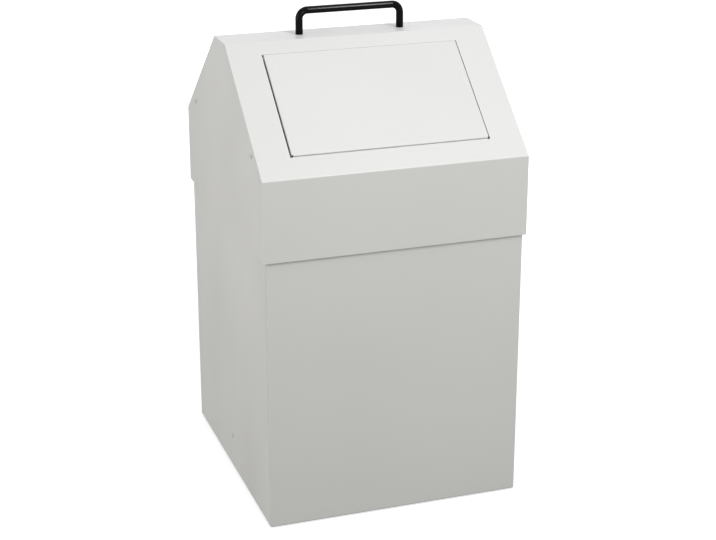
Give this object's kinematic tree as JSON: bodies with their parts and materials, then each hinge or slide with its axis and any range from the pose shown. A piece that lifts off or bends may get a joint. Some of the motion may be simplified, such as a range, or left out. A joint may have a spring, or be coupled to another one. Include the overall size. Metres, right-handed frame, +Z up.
{
  "type": "recycling bin",
  "caption": "Free-standing sheet steel recycling bin with a lift-off roof-shaped hood, a carry handle, a self-closing throw-in flap and a lift-out galvanised inner container.",
  "frame": {"origin": "centre of the footprint, on the floor", "axes": "+Z up, -Y towards the front with the flap, +X to the right seen from the front"},
  "size_m": [0.3274, 0.35, 0.596],
  "materials": {
    "body_paint": "fine-textured light grey powder coat",
    "hood_paint": "fine-textured light grey powder coat",
    "flap_paint": "fine-textured light grey powder coat",
    "galvanised": "hot-dip galvanised sheet with a fine spangle",
    "bright_steel": "zinc-plated steel",
    "handle_black": "black coated steel rod",
    "rubber": "moulded rubber",
    "nylon": "natural nylon"
  },
  "bodies": {
    "body": {"body_shell": "body_paint", "floor_pan": "body_paint", "floor_rivets": "body_paint", "foot_glides": "rubber"},
    "liner": {"liner_walls": "galvanised", "liner_base": "galvanised", "bail_ears": "galvanised", "ear_rivets": "bright_steel"},
    "bail": {"liner_bail": "galvanised"},
    "hood": {"hood_cover": "hood_paint", "hood_side_left": "hood_paint", "hood_side_right": "hood_paint", "support_angle_left": "hood_paint", "support_angle_right": "hood_paint", "angle_rivets": "hood_paint", "hinge_bracket_left": "hood_paint", "hinge_bracket_right": "hood_paint", "hinge_rod": "bright_steel", "rod_clips": "bright_steel", "carry_handle": "handle_black", "handle_screws": "bright_steel", "handle_washers": "bright_steel", "closing_spring_left": "bright_steel", "closing_spring_right": "bright_steel"},
    "flap": {"flap_panel": "flap_paint", "hinge_bushes": "nylon", "flap_bumpers": "rubber"}
  },
  "joints": [
    {"name": "hood_lift", "type": "slide", "parent": "body", "child": "hood", "axis": [0, 0, 1], "range_m": [0, 0.78]},
    {"name": "liner_lift", "type": "slide", "parent": "body", "child": "liner", "axis": [0, 0, 1], "range_m": [0, 0.39]},
    {"name": "bail_swing", "type": "hinge", "parent": "liner", "child": "bail", "pos_m": [0, 0, 0.4294], "axis": [-1, 0, 0], "range_deg": [0, 90]},
    {"name": "flap_swing", "type": "hinge", "parent": "hood", "child": "flap", "pos_m": [0, -0.03604, 0.54307], "axis": [1, 0, 0], "range_deg": [0, 75], "stiffness_Nm_per_rad": 0.2, "springref_deg": -85.94, "deforming": ["closing_spring_left", "closing_spring_right"]}
  ],
  "couplings": [
    {"joint": "liner_lift", "follows": "hood_lift", "ratio": 0.5},
    {"joint": "bail_swing", "follows": "hood_lift", "rad_per_m": 2.0138}
  ]
}
